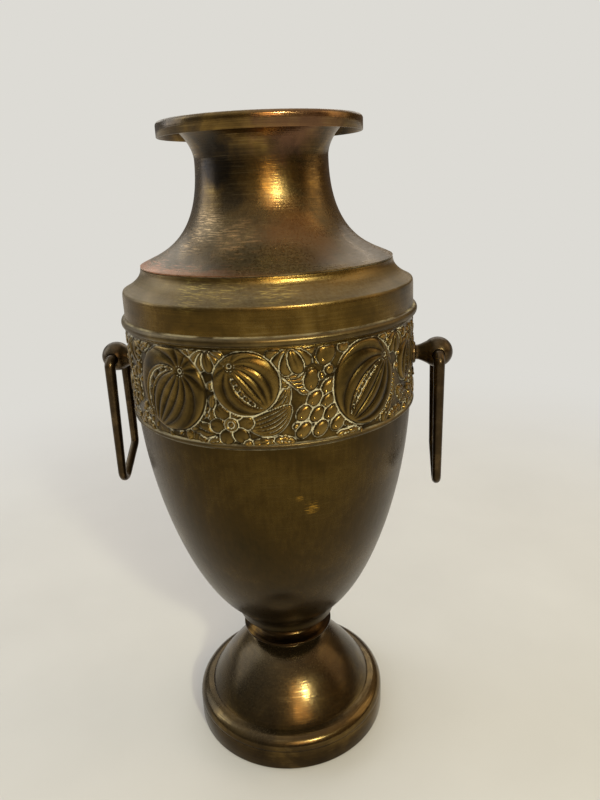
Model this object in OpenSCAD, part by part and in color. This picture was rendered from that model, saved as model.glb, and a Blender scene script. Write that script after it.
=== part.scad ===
// Urn vase in aged brass with two swinging bail handles. Units are millimetres.
// The origin is the centre of the base. +Z is up, the handles are on +X and -X.
// The side seen in the photograph faces -Y.

/* [General] */
// Full height of the vase
body_h = 300; // [285:1:315]
// Thickness of the spun brass sheet
sheet = 0.8; // [0.5:0.1:1.2]
// Slack between two soldered sheets that slide into each other
lap_gap = 0.05; // [0.03:0.01:0.10]
// How many straight steps a curved outline has
curve_steps = 20; // [10:1:30]

/* [Rim and neck] */
// Outer radius of the rim
rim_r = 42.9; // [40:0.1:46]
// Height of the turned down lip of the rim
lip_h = 6.1; // [4:0.1:8]
// Rounding of the rim's upper corner
rim_round = 1.6; // [1:0.1:2.4]
// Radius of the throat, outside
throat_r = 28.3; // [25:0.1:32]
// Height of the narrowest part of the throat
throat_z = 285; // [280:0.5:288]
// Radius of the flared lower edge of the neck
flare_r = 55.2; // [52:0.1:58]

/* [Shoulder] */
// Height at which the neck stands on the shoulder
neck_seat_z = 242.9; // [240:0.1:245]
// Inner radius of the ledge that carries the neck
ledge_r = 49; // [45:0.5:51]
// How far the shoulder's upright band stands out past the frieze's ground
band_step = 0.4; // [0.2:0.1:1]
// Height of the upright band's rounded top edge
band_top_z = 232.5; // [230:0.1:235]

/* [Frieze] */
// Lower edge of the embossed band
frieze_z0 = 178.4; // [174:0.1:182]
// Upper edge of the embossed band
frieze_z1 = 218.6; // [214:0.1:222]
// Outer radius of the band's ground
frieze_r = 63.8; // [62:0.1:65]
// Sheet thickness of the band
frieze_t = 0.9; // [0.6:0.1:1.4]
// How far the fruit stands out of the ground
relief_h = 1.9; // [1:0.1:2.1]
// How often the pattern goes round the band
repeats = 2; // [1:1:2]
// Radius of the largest fruit
fruit_r = 16.4; // [12:0.1:17]
// Radius of one grape
grape_r = 3.3; // [2:0.1:4]
// Radius of one petal
petal_r = 2.6; // [1.8:0.1:3]
// Half the length of a leaf
leaf_l = 5.5; // [4:0.1:6.5]
// How far a skirt slides into the band
lap_h = 4.1; // [3:0.1:6]

/* [Beads] */
// Height of the upper bead's middle
upper_bead_z = 221; // [220.9:0.1:222]
// Half the height of the upper bead
upper_bead_h = 2.3; // [1.5:0.1:2.4]
// How far the upper bead stands out
upper_bead_out = 1.8; // [1:0.1:2.5]
// Height of the lower bead's middle
lower_bead_z = 179.8; // [179:0.1:182]
// Half the height of the lower bead
lower_bead_h = 1.3; // [0.8:0.1:2]
// How far the lower bead stands out
lower_bead_out = 1.3; // [0.6:0.1:2]

/* [Bowl] */
// How far the bowl stays inside the frieze's ground at its top
bowl_step = 0.3; // [0.1:0.1:0.6]
// Radius of the bowl's lower edge
bowl_foot_r = 24.8; // [22:0.1:27]
// Height of the bowl's lower edge
bowl_z = 61.8; // [58:0.1:65]
// Radius of the bend above the lower edge
bowl_bend_r = 27.9; // [26:0.1:30]
// Height of the bend above the lower edge
bowl_bend_z = 69.7; // [66:0.1:73]
// How far the bowl's curve sets out sideways from its lower bend
bowl_low_out = 15.8; // [12:0.1:20]
// How far the bowl's curve sets out upwards from its lower bend
bowl_low_up = 12.8; // [10:0.1:16]
// How far the bowl's curve comes in below its top
bowl_top_in = 2.2; // [0:0.1:4]
// How far below its top the bowl's curve starts to come in
bowl_top_down = 49.1; // [40:0.1:60]

/* [Stem collar] */
// Radius of the collar's thin flange
flange_r = 23.2; // [21:0.1:26]
// Height of the collar's thin flange
flange_z = 52.3; // [50:0.1:55]
// Radius of the waist above the flange
waist_r = 17.8; // [15:0.1:20]
// Radius at which the collar stands on the foot
stem_r = 15.5; // [13:0.1:17]

/* [Foot] */
// Height of the foot's flat top
foot_z = 46; // [44:0.1:48]
// Radius of the groove round the dome
groove_r = 42.9; // [40:0.1:45]
// Height of the groove round the dome
groove_z = 17.6; // [15:0.1:20]
// Radius of the base ring
base_r = 49.9; // [47:0.1:53]
// Height of the base ring
base_h = 11; // [8:0.1:13]
// Wall thickness of the base ring
base_t = 1.2; // [0.8:0.1:2]
// Width of the ring the vase rests on
rest_w = 4.5; // [3:0.1:8]
// How far in from the groove the dome's curve is pulled
dome_in = 6.4; // [4:0.1:9]
// How far up from the groove the dome's curve is pulled
dome_up = 10.4; // [7:0.1:14]
// How far out from the stem the dome's curve is pulled
dome_out = 10; // [7:0.1:13]
// How far down from the foot's top the dome's curve is pulled
dome_down = 4; // [2:0.1:6]

/* [Lugs] */
// Distance from the frieze's ground to the middle of a lug's ball
ball_out = 11.7; // [11:0.1:14]
// Height of the hinge line
ball_z = 199.3; // [196:0.1:203]
// Radius of the ball
ball_r = 6.85; // [6:0.05:7.2]
// Radius of the ball's neck at the collar
ball_neck_r = 3.3; // [2.8:0.1:4]
// Radius of the collar at the wall
collar_r = 5; // [4:0.1:6]
// Thickness of the collar
collar_t = 1.8; // [1.2:0.1:2.4]
// Radius of the lug's threaded shank
shank_r = 2; // [1.5:0.1:2.5]
// Slack round a screw
screw_gap = 0.2; // [0.1:0.05:0.3]
// Radius of the saddle washer inside the wall
saddle_r = 6; // [5:0.1:7]
// Thickness of the saddle washer
saddle_t = 1.4; // [1:0.1:2]
// Width across the flats of the lug nut
lug_nut_w = 7; // [6:0.5:8]
// Height of the lug nut
lug_nut_h = 3.2; // [2.4:0.1:4]

/* [Handles] */
// Radius of the rod at the hinge
rod_r = 2.5; // [2.2:0.05:2.6]
// Radius of the rod at the lower bar
bar_r = 1.95; // [1.6:0.05:2.3]
// Slack round the pintle in the ball
pintle_gap = 0.35; // [0.3:0.05:0.4]
// Half the gap between the two pintle ends
pintle_end = 1; // [0.6:0.1:2]
// Distance of each leg from the ball's middle
leg_y = 9.7; // [9.6:0.1:10.5]
// Sideways position of the near lower corner
near_y = 13.5; // [10:0.1:15]
// Drop of the near lower corner below the hinge
near_drop = 62.8; // [58:0.1:66]
// Sideways position of the far lower corner
far_y = 7.9; // [7:0.1:12]
// Drop of the far lower corner below the hinge
far_drop = 47.7; // [44:0.1:55]
// Bend radius at the pintles
top_bend = 3.2; // [3:0.1:3.6]
// Bend radius at the lower corners
low_bend = 3.8; // [3:0.1:6]

/* [Tie bolt] */
// Radius of the tie bolt's shank
bolt_r = 3; // [2.5:0.1:3.5]
// Slack round the tie bolt
bolt_gap = 0.3; // [0.2:0.05:0.5]
// Width across the flats of head and nut
hex_w = 10; // [9:0.5:11]
// Height of the bolt's head
head_h = 4; // [3:0.1:5]
// Height of the nut
nut_h = 5; // [4:0.1:6]
// Thickness of the rubber washer
seal_t = 1.5; // [1:0.1:2.5]
// Thickness of a steel washer
washer_t = 1.2; // [0.8:0.1:2]
// Radius of the rubber washer
seal_r = 11; // [8:0.1:14]
// Radius of a steel washer
washer_r = 9; // [7:0.1:11]
// How far the bolt's end passes the nut
bolt_end = 2.5; // [1:0.1:4]

/* [Hidden] */
fine = 96;
band_r = frieze_r + band_step;
bowl_r = frieze_r - bowl_step;
bowl_top_z = frieze_z0 - sheet / 2;
ball_x = frieze_r + ball_out;
skirt_r = frieze_r - frieze_t - lap_gap;
wall_in = frieze_r - frieze_t;
relief_r = frieze_r + relief_h;
floor_z = bowl_z + sheet;
head_z = floor_z + seal_t + washer_t;
nut_z = foot_z - sheet - washer_t - nut_h;
saddle_x = wall_in - lap_gap - saddle_t;
thread_gap = 0.05;
dome_top = [stem_r + 3, foot_z - 1.7];
dome_low = [groove_r - 0.9, groove_z + 1.4];

function along(a, b, c, d, t) = a * pow(1 - t, 3) + b * 3 * t * pow(1 - t, 2)
  + c * 3 * t * t * (1 - t) + d * pow(t, 3);
function curve(a, b, c, d) = [for (i = [0 : curve_steps]) along(a, b, c, d, i / curve_steps)];
function arc(c, rx, ry, a0, a1, n) = [for (i = [0 : n])
  let (a = a0 + (a1 - a0) * i / n) [c[0] + rx * cos(a), c[1] + ry * sin(a)]];
function back(p) = [for (i = [len(p) - 1 : -1 : 0]) p[i]];
function dir(p, i) = p[min(i + 1, len(p) - 1)] - p[max(i - 1, 0)];
function shift(p, i, t) = let (d = dir(p, i), l = norm(d)) p[i] + t / l * [-d[1], d[0]];
function inside(p, t) = [for (i = [0 : len(p) - 1]) shift(p, i, t)];
function unit(v) = v / norm(v);
function turn(a, b, c) = acos(unit(b - a) * unit(c - b));
function centre(a, b, c, r) = b + unit(unit(a - b) + unit(c - b)) * r / cos(turn(a, b, c) / 2);
function bend(a, b, c, r, rod) = let (m = centre(a, b, c, r), t = turn(a, b, c),
  s = b + unit(a - b) * r * tan(t / 2) - m, a0 = atan2(s[1], s[0])) [for (i = [0 : 6])
  let (w = a0 + t * i / 6) [m[0] + r * cos(w), m[1] + r * sin(w), w + 90, rod]];

neck_line = curve([flare_r, neck_seat_z + 0.7], [flare_r - 7.4, neck_seat_z + 4.6],
  [throat_r, neck_seat_z + 7.8], [throat_r, throat_z]);
rim_line = curve([throat_r, throat_z], [throat_r, throat_z + 5],
  [throat_r + 4.7, body_h - 3], [throat_r + 10.7, body_h - sheet]);
rim_corner = arc([rim_r - rim_round, body_h - rim_round], rim_round - sheet,
  rim_round - sheet, 90, 0, 8);
rim_outer = arc([rim_r - rim_round, body_h - rim_round], rim_round, rim_round, 90, 0, 8);
bowl_line = curve([bowl_bend_r, bowl_bend_z],
  [bowl_bend_r + bowl_low_out, bowl_bend_z + bowl_low_up],
  [bowl_r - bowl_top_in, bowl_top_z - bowl_top_down], [bowl_r, bowl_top_z]);
bowl_neck = curve([bowl_foot_r, bowl_z], [bowl_foot_r + 0.6, bowl_z + 3],
  [bowl_bend_r - 2.5, bowl_bend_z - 3], [bowl_bend_r, bowl_bend_z]);
cove = curve([band_r - 0.6, band_top_z + 1.3], [band_r - 4.2, band_top_z + 2.9],
  [flare_r + 0.4, band_top_z + 6], [flare_r + 0.1, neck_seat_z - 0.6]);
dome_line = curve(dome_low, [groove_r - dome_in, groove_z + dome_up],
  [stem_r + dome_out, foot_z - dome_down], dome_top);
stem_fillet = curve(dome_top, [stem_r + 1.1, foot_z - 1.3], [stem_r, foot_z - 0.9], [stem_r, foot_z]);
torus_line = arc([groove_r, base_h], base_r - groove_r, groove_z - base_h, 0, 90, 12);
torus_in = arc([groove_r, base_h], base_r - groove_r - sheet, groove_z - base_h - sheet,
  0, 80, 10);
waist = curve([waist_r + 2.7, bowl_z], [waist_r - 0.9, bowl_z - 2.6],
  [waist_r - 0.9, flange_z + 3.4], [flange_r - 0.4, flange_z + 0.7]);
under = curve([flange_r - 0.4, flange_z - 0.7], [stem_r + 3, flange_z - 2],
  [stem_r, flange_z - 3.6], [stem_r, foot_z]);

module turned(points) {
  rotate_extrude($fn = fine) polygon(points);
}

module ring(r_out, r_in, z, h) {
  translate([0, 0, z]) difference() {
    cylinder(h = h, r = r_out, $fn = fine);
    translate([0, 0, -1]) cylinder(h = h + 2, r = r_in, $fn = fine);
  }
}

module hex_bar(across, h) {
  linear_extrude(height = h) polygon([for (i = [0 : 5]) across / 2 / cos(30) * [cos(60 * i), sin(60 * i)]]);
}

// Neck and rim, spun from one sheet with the lip turned down
module neck() {
  outer = concat([[flare_r, neck_seat_z]], neck_line, [for (i = [1 : curve_steps]) rim_line[i]],
    rim_corner, [[rim_r - sheet, body_h - lip_h]]);
  wall = inside(concat(neck_line, [for (i = [1 : curve_steps]) rim_line[i]]), sheet);
  inner = concat([[flare_r - 1.4, neck_seat_z]], [for (i = [1 : len(wall) - 1]) wall[i]],
    rim_outer, [[rim_r, body_h - lip_h]]);
  color([0.55, 0.36, 0.17]) turned(concat(outer, back(inner)));
}

// Shoulder with cove, upright band, inner ledge and the skirt inside the frieze
module shoulder() {
  outer = concat([[skirt_r, frieze_z1 - lap_h], [skirt_r, frieze_z1], [band_r, frieze_z1],
    [band_r, band_top_z - 8], [band_r - 0.15, band_top_z]], cove,
    [[flare_r + 0.1, neck_seat_z], [ledge_r, neck_seat_z]]);
  inner = concat([[skirt_r - sheet, frieze_z1 - lap_h], [skirt_r - sheet, frieze_z1 + sheet],
    [band_r - sheet, frieze_z1 + sheet], [band_r - sheet - 0.15, band_top_z]],
    inside(cove, sheet), [[ledge_r, neck_seat_z - sheet]]);
  color([0.5, 0.42, 0.2]) turned(concat(outer, back(inner)));
}

// Half round wire soldered over the upper joint
module upper_bead() {
  color([0.45, 0.33, 0.17]) turned(arc([band_r + lap_gap, upper_bead_z],
    upper_bead_out, upper_bead_h, -90, 90, 16));
}

// Half round wire soldered over the lower joint
module lower_bead() {
  color([0.45, 0.33, 0.17]) turned(arc([frieze_r + lap_gap, lower_bead_z],
    lower_bead_out, lower_bead_h, -90, 90, 16));
}

// Places a motif at an angle from the front, with its own X along the radius
module at_band(angle, z) {
  rotate([0, 0, angle - 90]) translate([frieze_r, 0, z]) children();
}

// A fruit as a round pad that follows the band, with a smaller dome on it
module fruit(angle, z, r) {
  intersection() {
    at_band(angle, z) translate([-7, 0, 0]) rotate([0, 90, 0]) cylinder(h = 12, r = r, $fn = 64);
    ring(relief_r - 0.7, frieze_r - 0.4, z - r - 1, 2 * r + 2);
  }
  intersection() {
    at_band(angle, z) rotate([0, 90, 0]) rotate_extrude($fn = 48) polygon(concat([[0, -3]],
      [[r * 0.75, -3]], arc([0, -3], r * 0.75, 3 + relief_h, 15, 90, 5)));
    ring(relief_r + 5, frieze_r - 0.4, z - r, 2 * r);
  }
}

// Grapes, seeds and petals are caps of small spheres
module berry(angle, z, r) {
  intersection() {
    at_band(angle, z) translate([relief_h - 0.3 - r, 0, 0]) sphere(r = r, $fn = 32);
    ring(relief_r + 5, frieze_r - 0.4, z - r, 2 * r);
  }
}

// A leaf with two pointed ends
module leaf(angle, z, lean, half) {
  intersection() {
    at_band(angle, z) rotate([lean, 0, 0]) intersection() {
      translate([-3, half * 0.75, 0]) rotate([0, 90, 0]) cylinder(h = 8, r = half * 1.25, $fn = 48);
      translate([-3, -half * 0.75, 0]) rotate([0, 90, 0]) cylinder(h = 8, r = half * 1.25, $fn = 48);
    }
    ring(relief_r - 1, frieze_r - 0.4, z - half - 1, 2 * half + 2);
  }
}

// Height of a motif, as a share of the band's height
function up(share) = frieze_z0 + share * (frieze_z1 - frieze_z0);

module grapes() {
  for (row = [0 : 3]) {
    for (k = [0 : min(row, 2)]) {
      berry(27 - row * 1.6 - (k - row / 2) * 5.6, up(0.575) - row * 1.57 * grape_r, grape_r);
    }
  }
}

module flower(angle, z) {
  berry(angle, z, petal_r);
  for (k = [0 : 4]) {
    berry(angle + 4.3 * cos(72 * k), z + 1.85 * petal_r * sin(72 * k), petal_r);
  }
}

// One stretch of fruit and leaves
module motif() {
  fruit(-30.6, up(0.552), fruit_r);
  fruit(-0.6, up(0.667), fruit_r * 0.72);
  fruit(43, up(0.547), fruit_r);
  fruit(68.5, up(0.637), fruit_r * 0.52);
  grapes();
  flower(-6.2, up(0.254));
  flower(-64, up(0.264));
  berry(22.2, up(0.687), grape_r);
  berry(28.5, up(0.886), grape_r);
  berry(-56, up(0.836), grape_r);
  leaf(17.6, up(0.861), 20, leaf_l);
  leaf(7.5, up(0.301), -60, leaf_l * 1.25);
  leaf(-54, up(0.289), 40, leaf_l * 0.9);
  leaf(-68, up(0.711), -35, leaf_l * 1.1);
  leaf(60, up(0.264), -50, leaf_l * 1.1);
  leaf(70, up(0.201), 60, leaf_l * 0.9);
}

// Embossed band with two holes for the shanks of the lugs
module frieze_band() {
  color([0.5, 0.4, 0.16]) difference() {
    union() {
      ring(frieze_r, wall_in, frieze_z0, frieze_z1 - frieze_z0);
      for (k = [0 : repeats - 1]) rotate([0, 0, 180 * k]) motif();
    }
    translate([0, 0, ball_z]) rotate([0, 90, 0])
      cylinder(h = 2 * ball_x, r = shank_r + screw_gap, center = true, $fn = 32);
  }
}

// Bowl with a flat floor, a short neck below and a skirt inside the frieze
module bowl() {
  outer = concat([[bolt_r + bolt_gap, bowl_z]], bowl_neck,
    [for (i = [1 : curve_steps]) bowl_line[i]],
    [[bowl_r, frieze_z0], [skirt_r, frieze_z0], [skirt_r, frieze_z0 + lap_h]]);
  wall = inside(concat(bowl_neck, [for (i = [1 : curve_steps]) bowl_line[i]]), sheet);
  inner = concat([[bolt_r + bolt_gap, floor_z], [bowl_foot_r - sheet, floor_z]],
    [for (i = [2 : len(wall) - 2]) wall[i]],
    [[skirt_r - sheet, frieze_z0 - 1], [skirt_r - sheet, frieze_z0 + lap_h]]);
  color([0.42, 0.34, 0.15]) turned(concat(outer, back(inner)));
}

// Turned collar between bowl and foot
module stem_collar() {
  color([0.3, 0.22, 0.1]) turned(concat([[bolt_r + bolt_gap, bowl_z]], waist,
    [[flange_r, flange_z]], under, [[bolt_r + bolt_gap, foot_z]]));
}

// Domed foot with the quarter round moulding below its groove
module foot_dome() {
  outer = concat(torus_line, dome_line, [for (i = [1 : curve_steps]) stem_fillet[i]],
    [[bolt_r + bolt_gap, foot_z]]);
  rise = inside(dome_line, sheet);
  inner = concat(torus_in, [[groove_r - 0.7, groove_z - sheet]],
    [for (i = [1 : len(rise) - 2]) rise[i]],
    [[stem_r - 0.6, foot_z - sheet], [bolt_r + bolt_gap, foot_z - sheet]]);
  color([0.4, 0.29, 0.13]) turned(concat(outer, back(inner)));
}

// Upright base ring with the flat ring the vase rests on
module base_ring() {
  color([0.4, 0.29, 0.13]) turned([[base_r, base_h], [base_r - base_t, base_h],
    [base_r - base_t, base_t], [base_r - rest_w, base_t], [base_r - rest_w, 0],
    [base_r - 0.4, 0], [base_r, 0.4]]);
}

// Ball with its neck and threaded shank, pierced for the handle's two pintles
module lug(side) {
  x0 = frieze_r + collar_t;
  x1 = saddle_x - lug_nut_h - 1.5;
  line = concat([[0, x1], [shank_r, x1], [shank_r, x0], [ball_neck_r, x0]],
    arc([0, ball_x], ball_r, ball_r, -50, 90, 18));
  rotate([0, 0, side > 0 ? 0 : 180]) translate([0, 0, ball_z]) difference() {
    rotate([0, 90, 0]) turned(line);
    translate([ball_x, 0, 0]) rotate([90, 0, 0])
      cylinder(h = 4 * ball_r, r = rod_r + pintle_gap, center = true, $fn = 48);
  }
}

module left_lug() {
  color([0.36, 0.28, 0.18]) lug(-1);
}

module right_lug() {
  color([0.36, 0.28, 0.18]) lug(1);
}

// Collar that follows the round wall on its inner side
module lug_collar(side) {
  rotate([0, 0, side > 0 ? 0 : 180]) difference() {
    translate([frieze_r - 1, 0, ball_z]) rotate([0, 90, 0]) turned(concat([[0, 0]],
      [[collar_r, 0]], arc([collar_r - 1, collar_t], 1, 1, 0, 90, 6), [[0, collar_t + 1]]));
    translate([0, 0, ball_z - 10]) cylinder(h = 20, r = frieze_r + lap_gap, $fn = 192);
    translate([frieze_r - 3, 0, ball_z]) rotate([0, 90, 0])
      cylinder(h = 12, r = shank_r + thread_gap, $fn = 32);
  }
}

module left_lug_collar() {
  color([0.4, 0.3, 0.17]) lug_collar(-1);
}

module right_lug_collar() {
  color([0.4, 0.3, 0.17]) lug_collar(1);
}

// Washer inside the band, rounded to the wall it bears on
module saddle_washer(side) {
  rotate([0, 0, side > 0 ? 0 : 180]) difference() {
    intersection() {
      translate([saddle_x, 0, ball_z]) rotate([0, 90, 0]) cylinder(h = 4, r = saddle_r, $fn = 48);
      translate([0, 0, ball_z - 10]) cylinder(h = 20, r = wall_in - lap_gap, $fn = 192);
    }
    translate([saddle_x - 1, 0, ball_z]) rotate([0, 90, 0])
      cylinder(h = 6, r = shank_r + screw_gap, $fn = 32);
  }
}

module left_saddle_washer() {
  color([0.7, 0.6, 0.3]) saddle_washer(-1);
}

module right_saddle_washer() {
  color([0.7, 0.6, 0.3]) saddle_washer(1);
}

module lug_nut(side) {
  rotate([0, 0, side > 0 ? 0 : 180]) translate([saddle_x - lug_nut_h, 0, ball_z])
    rotate([0, 90, 0]) difference() {
      hex_bar(lug_nut_w, lug_nut_h);
      translate([0, 0, -1]) cylinder(h = lug_nut_h + 2, r = shank_r + thread_gap, $fn = 32);
    }
}

module left_lug_nut() {
  color([0.7, 0.7, 0.68]) lug_nut(-1);
}

module right_lug_nut() {
  color([0.7, 0.7, 0.68]) lug_nut(1);
}

// Bail handle, bent from one tapered rod: round sections along a rounded path
module handle() {
  p = [[-pintle_end, 0], [-leg_y, 0], [-near_y, -near_drop], [far_y, -far_drop],
    [leg_y, 0], [pintle_end, 0]];
  path = concat([[p[0][0], p[0][1], 180, rod_r]], bend(p[0], p[1], p[2], top_bend, rod_r),
    bend(p[1], p[2], p[3], low_bend, bar_r), bend(p[2], p[3], p[4], low_bend, bar_r),
    bend(p[3], p[4], p[5], top_bend, rod_r), [[p[5][0], p[5][1], 180, rod_r]]);
  n = 20;
  last = len(path) - 1;
  points = [for (s = path) for (k = [0 : n - 1]) let (a = 360 * k / n)
    [s[3] * sin(a), s[0] - s[3] * cos(a) * sin(s[2]), s[1] + s[3] * cos(a) * cos(s[2])]];
  side = [for (i = [0 : last - 1]) for (k = [0 : n - 1]) let (a = i * n + k, b = i * n + (k + 1) % n)
    [a, b, b + n, a + n]];
  polyhedron(points = points, faces = concat(side, [[for (k = [0 : n - 1]) n - 1 - k]],
    [[for (k = [0 : n - 1]) last * n + k]]), convexity = 6);
}

module left_handle() {
  color([0.3, 0.24, 0.17]) translate([-ball_x, 0, ball_z]) handle();
}

module right_handle() {
  color([0.3, 0.24, 0.17]) translate([ball_x, 0, ball_z]) handle();
}

// Rubber washer on the bowl's floor
module seal_washer() {
  color([0.1, 0.1, 0.1]) ring(seal_r, bolt_r + bolt_gap, floor_z, seal_t);
}

module bolt_washer() {
  color([0.7, 0.7, 0.68]) ring(washer_r, bolt_r + bolt_gap, floor_z + seal_t, washer_t);
}

// Bolt that clamps bowl, collar and foot together
module tie_bolt() {
  color([0.7, 0.7, 0.68]) union() {
    translate([0, 0, head_z]) hex_bar(hex_w, head_h);
    translate([0, 0, nut_z - bolt_end]) cylinder(h = head_z - nut_z + bolt_end + 1, r = bolt_r, $fn = 48);
  }
}

module foot_washer() {
  color([0.7, 0.7, 0.68]) ring(washer_r, bolt_r + bolt_gap, foot_z - sheet - washer_t, washer_t);
}

module foot_nut() {
  color([0.7, 0.7, 0.68]) translate([0, 0, nut_z]) difference() {
    hex_bar(hex_w, nut_h);
    translate([0, 0, -1]) cylinder(h = nut_h + 2, r = bolt_r + thread_gap, $fn = 48);
  }
}

neck();
shoulder();
upper_bead();
frieze_band();
lower_bead();
bowl();
stem_collar();
foot_dome();
base_ring();
left_lug();
right_lug();
left_lug_collar();
right_lug_collar();
left_handle();
right_handle();
left_saddle_washer();
right_saddle_washer();
left_lug_nut();
right_lug_nut();
seal_washer();
bolt_washer();
tie_bolt();
foot_washer();
foot_nut();
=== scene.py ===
import math

import bpy
import numpy as np
from mathutils import Matrix, Vector


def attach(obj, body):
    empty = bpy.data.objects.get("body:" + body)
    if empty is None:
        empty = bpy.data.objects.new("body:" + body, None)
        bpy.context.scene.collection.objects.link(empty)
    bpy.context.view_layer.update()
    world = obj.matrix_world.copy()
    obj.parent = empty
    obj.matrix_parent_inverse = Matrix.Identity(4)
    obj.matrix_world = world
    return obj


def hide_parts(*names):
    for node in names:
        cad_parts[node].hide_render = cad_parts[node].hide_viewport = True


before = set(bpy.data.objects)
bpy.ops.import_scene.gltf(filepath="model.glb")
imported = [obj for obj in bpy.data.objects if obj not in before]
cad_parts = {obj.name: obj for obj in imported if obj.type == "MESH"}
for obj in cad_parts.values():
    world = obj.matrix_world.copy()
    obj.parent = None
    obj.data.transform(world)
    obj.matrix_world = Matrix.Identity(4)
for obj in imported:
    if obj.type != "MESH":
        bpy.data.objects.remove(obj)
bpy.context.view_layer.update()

# Camera, floor and studio. The camera stands a little to the right of the front,
# near the height of the rim, and looks down at the vase, as the photograph does.

MM = 0.001
camera_place = Vector((45.4, -286.66, 276.46)) * MM
camera_heading = math.radians(-6.675)
camera_pitch = math.radians(-19.12)
camera_roll = math.radians(-2.527)
camera_lens = 38.46

cam_data = bpy.data.cameras.new("photo_camera")
cam_data.sensor_fit = "HORIZONTAL"
cam_data.sensor_width = 36
cam_data.lens = camera_lens
cam_data.clip_start = 0.01
camera = bpy.data.objects.new("photo_camera", cam_data)
bpy.context.scene.collection.objects.link(camera)
forward = Vector((math.sin(camera_heading) * math.cos(camera_pitch),
                  math.cos(camera_heading) * math.cos(camera_pitch),
                  math.sin(camera_pitch)))
right = forward.cross(Vector((0, 0, 1))).normalized()
up = right.cross(forward)
tilt_right = math.cos(camera_roll) * right + math.sin(camera_roll) * up
tilt_up = -math.sin(camera_roll) * right + math.cos(camera_roll) * up
turned = Matrix((tilt_right, tilt_up, -forward)).transposed().to_4x4()
camera.matrix_world = Matrix.Translation(camera_place) @ turned
bpy.context.scene.camera = camera
bpy.context.scene.view_settings.view_transform = "Standard"


def ink(hex_colour):
    """sRGB hex to the linear colour that a shader reads."""
    parts = [int(hex_colour[i:i + 2], 16) / 255 for i in (1, 3, 5)]
    return [c / 12.92 if c < 0.04045 else ((c + 0.055) / 1.055) ** 2.4 for c in parts] + [1.0]


def empty_tree(owner):
    """The shader tree of a new material or world, with nothing in it yet."""
    owner.use_nodes = True
    owner.node_tree.nodes.clear()
    return owner.node_tree


def add_node(tree, kind, inputs=None, **settings):
    """Adds one shader node. An input is a value, or the socket or node that feeds it."""
    node = tree.nodes.new("ShaderNode" + kind)
    for name, value in settings.items():
        setattr(node, name, value)
    for key, value in (inputs or {}).items():
        if isinstance(value, bpy.types.Node):
            value = value.outputs[0]
        if isinstance(value, bpy.types.NodeSocket):
            tree.links.new(value, node.inputs[key])
        else:
            node.inputs[key].default_value = value
    return node


def clear_selection():
    """Nothing is selected, so that the next operator acts on the new piece alone."""
    if bpy.context.object and bpy.context.object.mode != "OBJECT":
        bpy.ops.object.mode_set(mode="OBJECT")
    bpy.ops.object.select_all(action="DESELECT")


clear_selection()
bpy.ops.mesh.primitive_plane_add(size=30, location=(0, 0, 0))
studio_floor = bpy.context.object
studio_floor.name = "studio_floor"
bpy.ops.object.transform_apply(location=True, rotation=True, scale=True)

# The floor is matt white paint. It scatters light evenly, so it shows a soft shadow and
# no gleam, and a faint mottle some 7 cm wide keeps it from looking like paper. From 24 cm
# on it fades to the backdrop's tone, so that no horizon shows. Polished metal sees it fade
# to a duller haze instead, as the floor of a moderately toned room.
backdrop_tone = "#dddbd5"
floor_paint = bpy.data.materials.new("matt_white_paint")
floor_tree = empty_tree(floor_paint)
floor_place = add_node(floor_tree, "TexCoord").outputs["Object"]
floor_mottle = add_node(floor_tree, "TexNoise", {
    "Vector": floor_place, "Scale": 14.0, "Detail": 4.0})
floor_tone = add_node(floor_tree, "Mix", {
    0: floor_mottle, 6: ink("#cdcbc5"), 7: ink("#d8d6d0")}, data_type="RGBA")
floor_matt = add_node(floor_tree, "BsdfPrincipled", {
    "Base Color": floor_tone.outputs[2], "Roughness": 0.7})
floor_far = add_node(floor_tree, "VectorMath", {0: floor_place}, operation="LENGTH")
floor_seen = add_node(floor_tree, "LightPath").outputs["Is Glossy Ray"]
fades = [add_node(floor_tree, "MapRange", {"Value": floor_far.outputs["Value"], "From Min": near,
                                           "From Max": far}, interpolation_type="SMOOTHSTEP")
         for near, far in ((0.24, 0.66), (0.25, 0.80))]
floor_end = add_node(floor_tree, "Mix", {0: floor_seen, 2: fades[0], 3: fades[1]})
haze_tone = add_node(floor_tree, "Mix", {
    0: floor_seen, 6: ink(backdrop_tone), 7: ink("#c8c2b6")}, data_type="RGBA")
floor_haze = add_node(floor_tree, "Emission", {"Color": haze_tone.outputs[2]})
floor_mix = add_node(floor_tree, "MixShader", {0: floor_end, 1: floor_matt, 2: floor_haze})
add_node(floor_tree, "OutputMaterial", {"Surface": floor_mix})
studio_floor.data.materials.append(floor_paint)

# The camera sees a plain pale backdrop. Polished metal sees a plain room of middle tones,
# darkest a little above the horizon and pale overhead, cool on the left and warm on the
# right, because the patina loses its depth in a white one. The rest is lit evenly.
studio = bpy.data.worlds.new("studio")
bpy.context.scene.world = studio
sky = empty_tree(studio)
seen = add_node(sky, "LightPath")
way = add_node(sky, "SeparateXYZ", {0: add_node(sky, "TexCoord").outputs["Generated"]})
height_tone = add_node(sky, "ValToRGB", {"Fac": way.outputs["Z"]})
stops = height_tone.color_ramp.elements
for spot, tone in ((0.0, "#8b867e"), (0.16, "#78736b"), (0.42, "#a9a6a0"), (1.0, "#ece9e2")):
    stops.new(spot).color = ink(tone)
stops.remove(stops[0])
stops.remove(stops[-1])
side_share = add_node(sky, "MapRange", {
    "Value": way.outputs["X"], "From Min": -1.0, "From Max": 1.0})
side_tone = add_node(sky, "Mix", {
    0: side_share, 6: ink("#e6edf8"), 7: ink("#c09564")}, data_type="RGBA")
room_tone = add_node(sky, "Mix", {
    0: 1.0, 6: height_tone, 7: side_tone.outputs[2]}, data_type="RGBA", blend_type="MULTIPLY")
backdrop = add_node(sky, "Background", {"Color": ink(backdrop_tone), "Strength": 1.0})
gloss_room = add_node(sky, "Background", {"Color": room_tone.outputs[2], "Strength": 1.0})
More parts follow.
